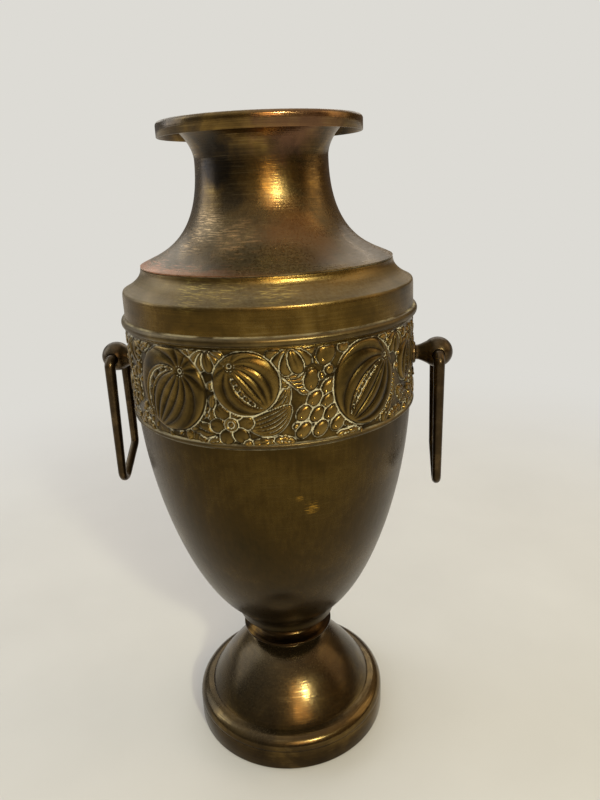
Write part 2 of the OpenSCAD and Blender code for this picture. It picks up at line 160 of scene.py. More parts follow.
soft_room = add_node(sky, "Background", {"Color": ink("#f2f0ec"), "Strength": 0.70})
room_mix = add_node(sky, "MixShader", {
    0: seen.outputs["Is Glossy Ray"], 1: soft_room, 2: gloss_room})
sky_mix = add_node(sky, "MixShader", {0: seen.outputs["Is Camera Ray"], 1: room_mix, 2: backdrop})
add_node(sky, "OutputWorld", {"Surface": sky_mix})

# Two warm lamps stand in front on the right, a small one for the bright spots on neck,
# shoulder and foot, and a wide one for the glow about them. Wide, weak ones stand round.
for name, place, aim_z, width, height, watts, colour in (
        ("lamp_box", (0.48, -0.76, 0.60), 0.17, 0.08, 0.08, 3.8, "#fbfedc"),
        ("lamp_glow", (0.36, -0.95, 0.62), 0.17, 0.40, 0.40, 2.4, "#ffd49c"),
        ("left_box", (-1.25, 0.15, 0.75), 0.15, 0.8, 1.0, 5.2, "#eaf1ff"),
        ("right_box", (1.25, 0.25, 0.75), 0.15, 0.7, 0.9, 2.5, "#ffe3b8"),
        ("back_box", (-0.2, 1.3, 1.0), 0.15, 2.2, 0.6, 6.0, "#ffffff")):
    lamp = bpy.data.lights.new(name, "AREA")
    lamp.shape = "RECTANGLE"
    lamp.size = width
    lamp.size_y = height
    lamp.energy = watts
    lamp.color = ink(colour)[:3]
    holder = bpy.data.objects.new(name, lamp)
    bpy.context.scene.collection.objects.link(holder)
    look = Vector((0, 0, aim_z)) - Vector(place)
    holder.matrix_world = (Matrix.Translation(Vector(place))
                           @ look.to_track_quat("-Z", "Y").to_matrix().to_4x4())

# Neck and rim. One sheet of brass, spun on a lathe over a former: a tall throat
# that flares out below, and a flat rim whose lip is turned down.

sheet = 0.8
rim_r = 42.9
rim_z = 300.0
rim_round = 1.6
lip_z = 293.9
throat_r = 28.3
throat_z = 285.0
flare_r = 55.2
flare_lip = 0.7
flare_out, flare_up = 7.4, 4.6
flare_rise = 7.8
neck_seat = 242.9
hem = 1.4
soft_edge = 0.3
soft_side = 0.25
seam = 0.02


def curve(a, b, c, d, steps):
    """Points of a cubic curve, as (radius, height)."""
    points = []
    for i in range(steps + 1):
        t = i / steps
        points.append(tuple(p * (1 - t) ** 3 + 3 * q * t * (1 - t) ** 2
                            + 3 * r * t * t * (1 - t) + s * t ** 3
                            for p, q, r, s in zip(a, b, c, d)))
    return points


def bow(centre, rx, ry, start, end, steps):
    """Points of an elliptic arc, as (radius, height)."""
    angles = [math.radians(start + (end - start) * i / steps) for i in range(steps + 1)]
    return [(centre[0] + rx * math.cos(a), centre[1] + ry * math.sin(a)) for a in angles]


def offset(points, gap):
    """The line that runs beside another one, to its left, at an even gap."""
    line = []
    for i, p in enumerate(points):
        a, b = points[max(i - 1, 0)], points[min(i + 1, len(points) - 1)]
        dr, dz = b[0] - a[0], b[1] - a[1]
        long = math.hypot(dr, dz)
        line.append((p[0] - gap * dz / long, p[1] + gap * dr / long))
    return line


def spin_sheet(name, section, steps=256, smooth=40, axis="Z", place=(0, 0, 0)):
    """Spins a closed section, drawn as (radius, height) in mm, round its axis."""
    clear_selection()
    bpy.ops.mesh.primitive_circle_add(vertices=len(section), radius=0.01)
    piece = bpy.context.object
    piece.name = name
    for vertex, (r, z) in zip(piece.data.vertices, section):
        vertex.co = (r * MM, 0, z * MM) if axis == "Z" else (z * MM, r * MM, 0)
    bpy.ops.object.mode_set(mode="EDIT")
    bpy.ops.mesh.select_all(action="SELECT")
    bpy.ops.mesh.spin(steps=steps, angle=2 * math.pi, center=(0, 0, 0),
                      axis=(0, 0, 1) if axis == "Z" else (1, 0, 0))
    bpy.ops.mesh.select_all(action="SELECT")
    bpy.ops.mesh.remove_doubles(threshold=1e-6)
    bpy.ops.mesh.normals_make_consistent(inside=False)
    bpy.ops.transform.translate(value=[v * MM for v in place])
    bpy.ops.object.mode_set(mode="OBJECT")
    bpy.ops.object.shade_smooth_by_angle(angle=math.radians(smooth))
    return piece


neck_line = curve((flare_r, neck_seat + flare_lip), (flare_r - flare_out, neck_seat + flare_up),
                  (throat_r, neck_seat + flare_rise), (throat_r, throat_z), 44)
rim_line = curve((throat_r, throat_z), (throat_r, throat_z + 5),
                 (throat_r + 4.7, rim_z - 3), (throat_r + 10.7, rim_z - sheet), 16)[1:]
neck_wall = offset(neck_line + rim_line, sheet)
rim_bend = (rim_r - rim_round, rim_z - rim_round)
neck_section = ([(flare_r - soft_edge, neck_seat + seam), (flare_r, neck_seat + soft_side)]
                + neck_line + rim_line
                + bow(rim_bend, rim_round - sheet, rim_round - sheet, 90, 0, 5)
                + [(rim_r - sheet, lip_z + soft_edge), (rim_r - sheet + soft_side, lip_z),
                   (rim_r - soft_side, lip_z), (rim_r, lip_z + soft_edge)]
                + bow(rim_bend, rim_round, rim_round, 0, 90, 7)
                + neck_wall[:0:-1] + [(flare_r - hem, neck_seat + seam)])
neck = spin_sheet("neck_sheet", neck_section)


def patina(name, dark, mid, light, dust_and_top_sheen, rough=(0.20, 0.36), blotch_mm=30.0,
           grain_mm=(34.0, 0.45), turned=0.55, spread=0.22, scratch=0.2, stains_and_painted_light=(), rubs=(),
           worn=None, caked=(), colour=None, dimple_mm=0.022):
    """Aged brass. Its tarnish goes from dark to light through brown blotches, mottling and
    the lathe's brushed lines. Stains, among them patches of painted light and shade, and rubs
    are (x, y, z, radius, strength, tone) in mm, worn is (height, half width, tone, side), and
    caked lists heights where polish dried."""
    material = bpy.data.materials.new(name)
    tree = empty_tree(material)
    coords = add_node(tree, "TexCoord")
    place = coords.outputs["Object"]

    # Every pattern has a size round the vase and one up it, in mm. Real brushed lines and
    # scratches are about 0.1 mm wide, and they are drawn at about 0.4 mm so that they show.
    pattern = {}
    for label, round_mm, up_mm, detail, twist in (
            ("blotch", blotch_mm, blotch_mm, 5.0, 0.6), ("torn", 9.0, 9.0, 4.0, 0.0),
            ("mottle", 3.2, 3.2, 4.0, 0.0), ("speck", 0.9, 0.9, 2.0, 0.0),
            ("grain", *grain_mm, 3.0, 0.0), ("stroke", 5.0, 0.36, 3.0, 0.6),
            ("hair", 13.0, 0.36, 1.0, 0.35)):
        grid = add_node(tree, "VectorMath", {
            0: place, 1: (1000 / round_mm, 1000 / round_mm, 1000 / up_mm)}, operation="MULTIPLY")
        pattern[label] = add_node(tree, "TexNoise", {
            "Vector": grid, "Scale": 1.0, "Detail": detail, "Roughness": 0.6, "Distortion": twist})

    middle = 0.70
    blend = pattern["blotch"]
    for label, weight in (("mottle", 0.16), ("grain", 0.24)):
        blend = add_node(tree, "Math", {
            0: pattern[label], 1: weight, 2: blend}, operation="MULTIPLY_ADD")
    ramp = add_node(tree, "ValToRGB", {"Fac": blend})
    stops = ramp.color_ramp.elements
    for stop, spot, stop_tone in ((stops[0], middle - spread, dark),
                                  (stops[1], middle + spread, light)):
        stop.position = spot
        stop.color = ink(stop_tone)
    stops.new(middle).color = ink(mid)

    # What lies over the tarnish, from the lowest layer up, each with its share and tone.
    # First the stains and the patches of painted light and shade, which have torn edges, and
    # the patches rubbed bare in short strokes.
    layers = []
    stroke = add_node(tree, "MapRange", {
        "Value": pattern["stroke"], "From Min": 0.50, "From Max": 0.66})
    for mark, mask in [(tone_patch, None) for tone_patch in stains_and_painted_light] + [(rub, stroke) for rub in rubs]:
        x, y, z, radius, strength, mark_tone = mark
        gap = add_node(tree, "VectorMath", {
            0: place, 1: (x * MM, y * MM, z * MM)}, operation="DISTANCE").outputs["Value"]
        ragged = add_node(tree, "Math", {
            0: pattern["torn"], 1: 1.3 * radius * MM, 2: gap}, operation="MULTIPLY_ADD")
        share = add_node(tree, "MapRange", {
            "Value": ragged, "From Min": 1.15 * radius * MM, "From Max": 1.75 * radius * MM,
            "To Min": strength, "To Max": 0.0})
        if mask:
            share = add_node(tree, "Math", {0: mask, 1: share}, operation="MULTIPLY")
        layers.append((share, mark_tone))

    # Hairline scratches, in the paler blotches only.
    fine_hair = add_node(tree, "MapRange", {
        "Value": pattern["hair"], "From Min": 0.60, "From Max": 0.70})
    scuffed = add_node(tree, "MapRange", {
        "Value": pattern["blotch"], "From Min": 0.46, "From Max": 0.60, "To Max": scratch})
    hair = add_node(tree, "Math", {0: fine_hair, 1: scuffed}, operation="MULTIPLY")
    layers.append((hair, "#b9a574"))
    axes = add_node(tree, "SeparateXYZ", {0: place}).outputs

    def belt(level, inner, outer):
        """1 at one height of the vase and 0 away from it, with a soft edge, all in mm."""
        above = add_node(tree, "Math", {0: axes["Z"], 1: level * MM}, operation="SUBTRACT")
        away = add_node(tree, "Math", {0: above}, operation="ABSOLUTE")
        return add_node(tree, "MapRange", {
            "Value": away, "From Min": inner * MM, "From Max": outer * MM, "To Min": 1.0,
            "To Max": 0.0})

    # An edge that hands have worn down to copper, more on one side than on the other.
    if worn:
        worn_z, worn_half, worn_tone, side = worn
        ragged = belt(worn_z, 0.0, worn_half)
        for mask, weight in ((pattern["torn"], 0.8), (stroke, 0.55)):
            ragged = add_node(tree, "Math", {
                0: mask, 1: weight, 2: ragged}, operation="MULTIPLY_ADD")
        rubbed = add_node(tree, "MapRange", {"Value": ragged, "From Min": 1.02, "From Max": 1.45})
        on_side = add_node(tree, "MapRange", {
            "Value": axes["X"], "From Min": -0.02 * side, "From Max": 0.05 * side})
        share = add_node(tree, "Math", {0: rubbed, 1: on_side}, operation="MULTIPLY")
        layers.append((share, worn_tone))

    # A dull pale film lies where the surface looks up, partly dust and partly a painted sheen
    # of light from above. It takes the metal's gleam away.
    looks_up = add_node(tree, "SeparateXYZ", {0: coords.outputs["Normal"]}).outputs["Z"]
    up_facing_dust_and_sheen = add_node(tree, "MapRange", {
        "Value": looks_up, "From Min": 0.10, "From Max": 0.85, "To Max": dust_and_top_sheen})
    crumbs = add_node(tree, "MapRange", {
        "Value": pattern["speck"], "From Min": 0.34, "From Max": 0.66, "To Min": 0.55})
    veil = add_node(tree, "Math", {0: up_facing_dust_and_sheen, 1: crumbs}, operation="MULTIPLY")
    layers.append((veil, "#8c8162"))
    bare = add_node(tree, "MapRange", {"Value": veil, "To Min": 0.96, "To Max": 0.20})
    smoother = 0.08
    rough_here = add_node(tree, "MapRange", {
        "Value": blend, "From Min": middle - spread, "From Max": middle + spread,
        "To Min": rough[1] - smoother, "To Max": rough[0] - smoother})
    for mask, weight in ((veil, 0.35), (pattern["speck"], 0.16)):
        rough_here = add_node(tree, "Math", {
            0: mask, 1: weight, 2: rough_here}, operation="MULTIPLY_ADD")

    # Polish has dried white beside the beads. It is chalky, so it isn't metal at all.
    for level in caked:
        patchy = add_node(tree, "MapRange", {"Value": pattern["torn"], "From Min": 0.40,
                                             "From Max": 0.60, "To Min": 0.10, "To Max": 0.75})
        fill = add_node(tree, "Math", {0: belt(level, 0.02, 0.36), 1: patchy}, operation="MULTIPLY")
        layers.append((fill, "#b3a987"))
        bare = add_node(tree, "Math", {0: fill, 1: -0.85, 2: bare}, operation="MULTIPLY_ADD")
        rough_here = add_node(tree, "Math", {
            0: fill, 1: 0.40, 2: rough_here}, operation="MULTIPLY_ADD")

    tone = ramp.outputs["Color"]
    for share, layer_tone in layers:
        tone = add_node(tree, "Mix", {
            0: share, 6: tone, 7: ink(layer_tone)}, data_type="RGBA").outputs[2]
    if colour:
        tone, bare, rough_here = colour(tree, place, tone, bare, rough_here)
    pitted = add_node(tree, "Math", {0: pattern["grain"], 1: pattern["mottle"]}, operation="ADD")
    pitted = add_node(tree, "Math", {
        0: pattern["speck"], 1: 0.5, 2: pitted}, operation="MULTIPLY_ADD")
    bump = add_node(tree, "Bump", {"Height": pitted, "Strength": 1.0, "Distance": dimple_mm * MM})
    shader = add_node(tree, "BsdfPrincipled", {
        "Base Color": tone, "Metallic": bare, "Roughness": rough_here, "Normal": bump,
        "Anisotropic": turned})
    if turned:
        brushed = add_node(tree, "Tangent", direction_type="RADIAL", axis="Z")
        tree.links.new(brushed.outputs[0], shader.inputs["Tangent"])
    add_node(tree, "OutputMaterial", {"Surface": shader})
    return material


# Spun brass, brushed round and tarnished brown. The brushing draws the lamp's spot out
# sideways. It is near black under the rim, an orange patch low on the right front is a
# painted warm reflection, strokes of polishing show pale brass, and the flare's edge is
# worn to a copper red on the left.
neck.data.materials.append(patina(
    "spun_brass_brown_patina", "#2b2416", "#5c4726", "#8f733d", rough=(0.13, 0.30), dust_and_top_sheen=0.40,
    spread=0.20, scratch=0.3, dimple_mm=0.036, worn=(244.0, 4.2, "#bd7d5a", -1), caked=(243.0,),
    stains_and_painted_light=((18, -34, 254, 18, 0.35, "#96602c"), (-14, -25, 284, 13, 0.85, "#1b1a19"),
            (-8, -27, 271, 7, 0.6, "#1d1b18"), (14, -24, 291, 9, 0.5, "#211b15"),
            (30, 22, 280, 15, 0.8, "#1d1a17"), (22, -36, 297, 20, 0.5, "#85604a"),
            (-30, -30, 297, 18, 0.55, "#4d463c")),
    rubs=((-28, -9, 284, 9, 0.85, "#cbb685"), (27, -14, 279, 9, 0.5, "#b79c66"),
          (-22, -28, 257, 12, 0.8, "#d2ae7c"), (-5, -36, 251, 11, 0.7, "#d6a870"),
          (-44, -22, 248, 12, 0.45, "#bd9068"), (20, 30, 268, 16, 0.5, "#b59f6c"))))


def fit(piece, node, body="vase"):
    """The piece rides on its body and stands for its CAD node."""
    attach(piece, body)
    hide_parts(node)


fit(neck, "neck")

# Shoulder. A second sheet of spun brass: an upright band, a rounded edge, a hollow
# cove and a ledge on which the neck is soldered.

band_r = 64.2
band_top = 232.5
band_low = 224.0
frieze_top = 218.6
frieze_r = 63.8
skirt_r = 62.85
lap = 4.1
ledge_r = 49.0
shoulder_edge = (band_r - 0.6, band_top + 1.3)
cove = curve(shoulder_edge, (band_r - 4.2, band_top + 2.9),
             (flare_r + 0.4, band_top + 6), (flare_r + 0.1, neck_seat - 0.6), 26)
edge = curve((band_r - 0.1, band_top - 1.6), (band_r - 0.12, band_top - 0.2),
             (band_r - 0.2, band_top + 0.8), shoulder_edge, 8)[:-1]
shoulder_section = ([(skirt_r, frieze_top - lap), (skirt_r, frieze_top - seam),
                     (band_r, frieze_top + seam), (band_r, band_low)] + edge + cove
                    + [(flare_r, neck_seat - 0.1), (flare_r - 0.4, neck_seat),
                       (ledge_r, neck_seat), (ledge_r, neck_seat - sheet)]
                    + offset(cove, sheet)[::-1]
                    + [(band_r - sheet - 0.15, band_top), (band_r - sheet, frieze_top + sheet),
                       (skirt_r - sheet, frieze_top + sheet), (skirt_r - sheet, frieze_top - lap)])
shoulder = spin_sheet("shoulder_sheet", shoulder_section)

# The same spun brass, but greener and grainier, because it is handled less. The film of
# dust and painted top sheen is thick in the cove, and golden strokes show where a cloth
# went over it.
shoulder.data.materials.append(patina(
    "spun_brass_olive_patina", "#3a2e15", "#624c21", "#876c34", dust_and_top_sheen=0.55, spread=0.24,
    dimple_mm=0.04, caked=(222.75,),
    rubs=((-20, -56, 238, 8, 0.7, "#e0c468"), (-6, -58, 237, 7, 0.6, "#e0c468"),
          (12, -57, 239, 8, 0.7, "#ecd070"), (30, 50, 238, 12, 0.5, "#d0b460"))))
fit(shoulder, "shoulder")

# Frieze band. Two strips of thin brass, embossed from behind by one die with a
# traditional garland: split pomegranates, grapes, leaves and blossoms. They meet
# under the lugs, and a pale residue of old polish lies in their hollows.

frieze_low = 178.4
frieze_sheet = 0.9
relief_r = 64.5
hinge_z = 199.3
lug_seat_r = 5.5
columns = 800
rows = 116
half_girth = math.pi * relief_r
along = np.linspace(-half_girth / 2, half_girth / 2, columns + 1)
upward = np.linspace(frieze_low, frieze_top, rows + 1)
S, Z = np.meshgrid(along, upward)
relief = np.zeros_like(S)
wiped = np.ones_like(S)
seeds = np.random.default_rng(7)


def local(s0, z0, lean):
    """Millimetre coordinates about a motif's middle, turned by its lean. s0 is how far
    round the strip the middle is, and z0 how high. The strip's two ends are alike, so a
    motif that runs off one end comes in at the other."""
    x = (S - s0 + half_girth / 2) % half_girth - half_girth / 2
    y = Z - z0
    c, n = math.cos(math.radians(lean)), math.sin(math.radians(lean))
    return x * c + y * n, -x * n + y * c


def ease(v, lo, hi):
    """0 up to lo and 1 from hi on, with a smooth step between them."""
    t = np.clip((v - lo) / (hi - lo), 0, 1)
    return t * t * (3 - 2 * t)


def dome(q):
    """A half circle's height: 1 at the middle, where q is 0, and nothing from q = 1 on."""
    return np.sqrt(np.clip(1 - q, 0, 1))


def emboss(inside, height, moat=0.12):
    """The motif lies over what is there, and the die cuts a fine groove round it."""
    global relief
    solid = inside & (height > 0)
    ring = solid.copy()
    for step, axis in ((1, 1), (-1, 1), (2, 1), (-2, 1), (1, 0), (-1, 0)):
        ring |= np.roll(solid, step, axis=axis)
    around = np.where(ring, np.minimum(relief, moat), relief)
    relief = np.where(solid, height, around)


def arcs(x, y, p, q):
    """The family of arcs that pass through p and q: 0 on the line between them, and
    more on the left or less on the right, as segments of a fruit bulge."""
    ax, ay, bx, by = p[0] - x, p[1] - y, q[0] - x, q[1] - y
    turn = np.arctan2(ax * by - ay * bx, ax * bx + ay * by)
    return np.where(turn > 0, math.pi - turn, -math.pi - turn)


def pomegranate(s0, z0, a, b, crown, end, through, period, high=1.85, gape=0.15):
    """A ribbed fruit whose segments run from its crown to its far end. The one that
    passes through a given point has split, and shows a row of seeds between two lips."""
    x, y = local(s0, z0, 0)
    q = (x / a) ** 2 + (y / b) ** 2
    t = arcs(x, y, crown, end)
    split = float(arcs(np.float64(through[0]), np.float64(through[1]), crown, end))
    off = t - split
    near_crown = np.hypot(x - crown[0], y - crown[1])
    near_end = np.hypot(x - end[0], y - end[1])
    down = near_crown / (near_crown + near_end)

    swell = dome(q)
    share = ((np.abs(off) - gape * 1.5) / period) % 1
    lobe = np.sin(np.pi * share) ** 0.7
    depth = 0.95 * ease(np.minimum(near_crown, near_end), 0.4, 6.0)
    level = high * (0.34 + 0.66 * swell ** 0.75)
    body = level - depth * (1 - lobe) * (0.35 + 0.65 * swell)

    opened = np.sin(np.clip(down * 1.06 - 0.03, 0, 1) * math.pi)
    mouth = gape * np.clip(opened * 1.5, 0, 1)
    inside = np.abs(off) < mouth
    lip = (np.abs(off) < mouth + 0.085) & ~inside
    seed = np.abs(np.sin(down * math.pi * 9)) ** 0.6
    row = dome((off / np.maximum(mouth, 1e-3) * 1.15) ** 2)
    body = np.where(lip, level + 0.06, body)
    body = np.where(inside, level - 1.0 + 0.85 * row * seed, body)
    body = body * ease(1 - q, 0.0, 0.10) + 0.12

    ring = dome(((near_crown - 1.55) / 0.5) ** 2)
    button = dome((near_crown / 0.75) ** 2)
    cup = near_crown < 2.1
    body = np.where(cup, high * 0.50 + 0.62 * ring + 0.25 * button, body)
    emboss((q < 1) | cup, np.clip(body, 0.1, 1.9))
    skin = (q < 0.96) & (np.abs(off) > mouth + 0.1) & (near_crown > 2.8)
    wiped[skin] = 0.3


def grape(s0, z0, a=3.7, b=2.5, lean=50, high=1.5):
    """An oval berry, with a small raised point at its lower end that the crests' painted
    highlight makes bright.
    """
    x, y = local(s0, z0, lean)
    q = (x / a) ** 2 + (y / b) ** 2
    tip = dome(((x + a * 0.62) ** 2 + y ** 2) / 0.42)
    emboss(q < 1, high * (0.25 + 0.75 * dome(q)) + 0.55 * tip)


def leaf(s0, z0, long, wide, lean, teeth, high=1.15):
    """A pointed leaf with a sunk midrib, side veins and a lobed edge."""
    x, y = local(s0, z0, lean)
    t = np.clip(x / long, -1, 1)
    lobes = np.abs(np.sin((t + 1) * teeth * math.pi / 2)) ** 0.7
    half = wide * np.clip(1 - t * t, 0, 1) ** 0.55 * (0.66 + 0.34 * lobes)
    q = np.abs(y) / np.maximum(half, 1e-3)
    vein = np.abs(np.sin((x - np.abs(y) * 0.9 + long) * math.pi * teeth / (2 * long)))
    body = high * (0.35 + 0.65 * dome(q * q))
    body -= 0.50 * (1 - ease(np.abs(y), 0.0, 0.45)) + 0.34 * (1 - ease(vein, 0.0, 0.6))
    emboss((q < 1) & (np.abs(x) < long), np.clip(body, 0.16, 1.7))


def shell_leaf(s0, z0, long, wide, lean, ribs, bend=0.25, high=1.35):
    """A leaf of long ribs that spring from its stalk and spread like a shell's."""
    x, y = local(s0, z0, lean)
    y = y - bend * (x * x) / long
    t = np.clip((x + long) / (2 * long), 0, 1)
    half = wide * (np.sin(np.clip(t, 0, 1) ** 0.8 * math.pi) ** 0.6 + 0.12)
    fan = y / np.maximum(half, 1e-3)
    lobe = np.abs(np.sin((fan + 1) * ribs * math.pi / 2))
    lobe = 1 - (1 - lobe) ** 1.6
    body = high * (0.55 + 0.45 * dome(fan * fan))
    body -= (1 - lobe) * t ** 0.5
    emboss((np.abs(fan) < 1) & (np.abs(x) < long), np.clip(body, 0.16, 1.7))


def blossom(s0, z0, radius, petals, turn):
    """A flower: round petals about a ring with a button in it."""
    for k in range(petals):
        a = turn + k * 2 * math.pi / petals
        x, y = local(s0 + radius * 0.64 * math.cos(a), z0 + radius * 0.64 * math.sin(a),
                     math.degrees(a))
        q = (x / (radius * 0.38)) ** 2 + (y / (radius * 0.34)) ** 2
        dent = 0.25 * (1 - ease(np.abs(y), 0, 0.6)) * ease(x, 0, radius * 0.3)
        emboss(q < 1, 1.15 * (0.35 + 0.65 * dome(q)) - dent)
    x, y = local(s0, z0, 0)
    d = np.hypot(x, y)
    out = radius * 0.30
    ring = dome(((d - out + 0.6) / 0.6) ** 2)
    button = dome((d / (out - 1.25)) ** 2)
    emboss(d < out, 0.35 + np.maximum(1.15 * ring, 1.1 * button))


def blade(s0, z0, long, wide, lean, curl, high=1.2):
    """A plain crescent, pointed at both ends."""
    x, y = local(s0, z0, lean)
    y = y - curl * (x * x) / long
    half = wide * np.clip(1 - (x / long) ** 2, 0, 1) ** 0.7
    q = np.abs(y) / np.maximum(half, 1e-3)
    emboss(q < 1, high * (0.4 + 0.6 * dome(q * q)), 0.05)


def frond(s0, z0, long, lean, count, size):
    """A curled leaf of crescents, set side by side along a stalk."""
    c, n = math.cos(math.radians(lean)), math.sin(math.radians(lean))
    for k in range(count):
        u = (k / max(count - 1, 1) - 0.5) * long
        blade(s0 + u * c, z0 + u * n, size * (1.2 - 0.1 * k), size * 0.30, lean + 58, 0.5)


def vine_leaf(s0, z0, reach, lean, fingers=6, high=1.35):
    """A leaf of rounded fingers that spread from its stalk like a hand, lobed at the tips."""
    for k in (0, fingers - 1, 1, fingers - 2, 2, fingers - 3):
        turn = lean + (k - (fingers - 1) / 2) * 31
        c, n = math.cos(math.radians(turn)), math.sin(math.radians(turn))
        length = reach * (1.0 - 0.05 * abs(k - (fingers - 1) / 2))
        x, y = local(s0 + 0.56 * length * c, z0 + 0.56 * length * n, turn)
        q = (x / (0.50 * length)) ** 2 + (y / (0.27 * length * (1 + 0.35 * x / length))) ** 2
        vein = 0.34 * (1 - ease(np.abs(y), 0.0, 0.5)) * ease(-x, -0.4 * length, 0.1 * length)
        emboss(q < 1, high * (0.30 + 0.70 * dome(q)) - vein)


# Leaves, tendrils and small berries come first, and the fruit lies over them.
for s0, z0, long, wide, lean, teeth in (
        (-20.4, 186.4, 6.4, 3.2, 162, 2), (-13.6, 181.6, 4.2, 1.8, 14, 2),
        (-15.0, 191.4, 3.2, 1.6, 92, 1), (-14.6, 197.6, 3.0, 1.3, 84, 1),
        (5.0, 181.6, 5.0, 1.9, 6, 3), (13.0, 181.8, 4.2, 2.1, -8, 3),
        (38.8, 181.4, 5.4, 1.7, 4, 2), (60.6, 186.2, 6.4, 3.2, 62, 3),
        (66.6, 213.8, 5.6, 2.9, -52, 4), (60.8, 214.4, 4.2, 2.2, -74, 3),
        (73.6, 188.6, 6.6, 3.4, -36, 4), (67.0, 182.8, 5.2, 2.2, 12, 3),
        (84.6, 211.8, 6.0, 3.2, -62, 4), (91.8, 186.6, 6.2, 3.4, 58, 4),
        (96.4, 181.6, 4.2, 1.8, -4, 2), (-62.4, 213.8, 5.6, 3.0, -24, 4),
        (-56.4, 207.0, 5.2, 2.4, 78, 3), (-66.8, 182.6, 5.6, 2.4, 10, 4),
        (-56.6, 183.8, 4.8, 2.4, 40, 3), (-58.6, 195.4, 5.4, 2.2, 98, 3),
        (-88.4, 212.4, 5.8, 3.2, 40, 4), (-79.0, 214.2, 5.4, 2.8, -18, 4),
        (-86.4, 184.4, 6.4, 3.2, -30, 4), (-70.6, 206.8, 6.0, 3.0, 124, 4),
        (-49.6, 215.8, 4.2, 1.8, 30, 2), (-50.4, 182.0, 4.0, 1.7, -28, 2)):
    leaf(s0, z0, long, wide, lean, teeth)
frond(18.6, 204.6, 9.5, -50, 6, 3.6)
frond(64.4, 196.0, 7.0, 84, 5, 2.2)
frond(-65.0, 199.0, 7.0, 100, 5, 2.2)
frond(86.2, 194.4, 6.4, 70, 4, 2.4)
vine_leaf(16.4, 217.9, 10.2, -86)
vine_leaf(-16.0, 217.4, 8.2, -95)
vine_leaf(-60.0, 216.8, 9.0, -75)
vine_leaf(67.6, 216.8, 8.6, -105)
vine_leaf(90.0, 184.0, 8.0, 80)
shell_leaf(12.4, 197.2, 6.6, 2.5, 50, 4)
shell_leaf(8.8, 189.6, 9.0, 4.4, 26, 6)
shell_leaf(-78.6, 194.0, 7.4, 3.8, 138, 6)
shell_leaf(-76.4, 187.0, 5.6, 2.6, 20, 5)
shell_leaf(84.8, 203.6, 6.4, 2.8, 98, 5)
blossom(-7.3, 188.9, 8.8, 6, 0.15)
blossom(-68.4, 191.0, 5.6, 5, 0.1)
blossom(81.6, 186.6, 5.0, 5, 0.7)
blossom(-77.0, 205.8, 5.2, 5, 0.4)
for s0, z0, a, b, lean in (
        (24.2, 205.1, 4.4, 2.9, 80), (31.4, 208.2, 1.9, 1.8, 0), (27.6, 212.6, 2.4, 2.1, 40),
        (30.2, 214.4, 4.4, 3.6, 60), (37.6, 216.2, 2.3, 1.9, 0), (-25.2, 215.6, 2.2, 1.9, 0),
        (57.8, 216.4, 2.2, 1.7, 0), (92.0, 207.4, 2.8, 2.4, 60), (-86.4, 198.6, 3.2, 2.7, 40),
        (-88.4, 192.4, 2.4, 2.1, 0), (-61.6, 203.0, 2.6, 2.2, 70), (-72.4, 182.2, 2.2, 1.9, 0),
        (77.0, 181.6, 2.2, 1.7, 0), (74.0, 215.2, 2.4, 1.9, 30), (-95.0, 206.8, 2.4, 2.1, 0),
        (94.4, 192.6, 2.5, 2.1, 50), (-1.0, 181.2, 1.7, 1.4, 0), (-53.4, 189.6, 2.4, 2.0, 60),
        (-14.8, 203.8, 1.6, 1.3, 90), (-52.8, 201.4, 1.7, 1.5, 0), (-54.4, 212.6, 1.8, 1.6, 0),
        (18.0, 187.2, 1.6, 1.5, 0), (69.6, 207.6, 1.7, 1.5, 0), (68.0, 202.4, 1.5, 1.4, 0)):
    grape(s0, z0, a, b, lean, 1.2)
for s0, z0 in ((30.9, 201.6), (25.2, 197.6), (30.4, 196.2), (20.8, 192.4), (26.0, 191.4),
               (31.6, 191.4), (20.4, 185.4), (27.2, 185.4), (34.6, 186.6)):
    grape(s0, z0)

# What ground is left is filled with little leaves and berries, as a die cutter would.
trials = 520
for trial in range(trials):
    s0 = seeds.uniform(-half_girth / 2, half_girth / 2)
    z0 = seeds.uniform(frieze_low + 2.2, frieze_top - 2.2)
    size = 3.4 - 2.2 * trial / trials
    lean = seeds.uniform(0, 180)
    x, y = local(s0, z0, lean)
    under = relief[(x / (size * 1.1)) ** 2 + (y / (size * 0.62)) ** 2 < 1]
    taken = (under > 0.1).mean() > 0.06
    if taken or abs(abs(s0) - half_girth / 2) < 7 and abs(z0 - hinge_z) < 8:
        continue
    if seeds.uniform() < 0.62:
        leaf(s0, z0, size * 1.15, size * 0.62, lean, 2 + int(size), 0.95)
    else:
        grape(s0, z0, size * 0.72, size * 0.6, lean, 0.95)

# The fruit, each with its middle, half width and height, crown, far end, and a point that
# its split runs through.
pomegranate(-34.6, 200.9, 17.9, 17.7, (7.1, 8.0), (-7.5, -16.6), (-11.0, -1.9), 0.50)
pomegranate(-0.8, 205.0, 13.1, 12.6, (-5.5, 7.2), (8.0, -10.0), (-3.2, -1.3), 0.52, gape=0.17)
pomegranate(48.6, 200.5, 15.7, 17.7, (9.3, 8.9), (-9.2, -14.3), (-3.2, -1.0), 0.50)
pomegranate(76.2, 203.6, 7.4, 9.4, (1.6, 8.2), (-1.6, -8.8), (0.6, 0.0), 0.62, high=1.6,
            gape=0.2)

# The margins: a fine raised line under each bead, and a flat place for each lug.
line_in, line_half, line_high = 0.45, 0.4, 0.32
edge_gap = np.minimum(Z - frieze_low, frieze_top - Z)
relief = relief * ease(edge_gap, 0.8, 1.4)
relief = np.maximum(relief, line_high * dome(((edge_gap - line_in) / line_half) ** 2))
lug_gap = np.hypot(half_girth / 2 - np.abs(S), Z - hinge_z)
relief = relief * ease(lug_gap, lug_seat_r, lug_seat_r + 1.1)


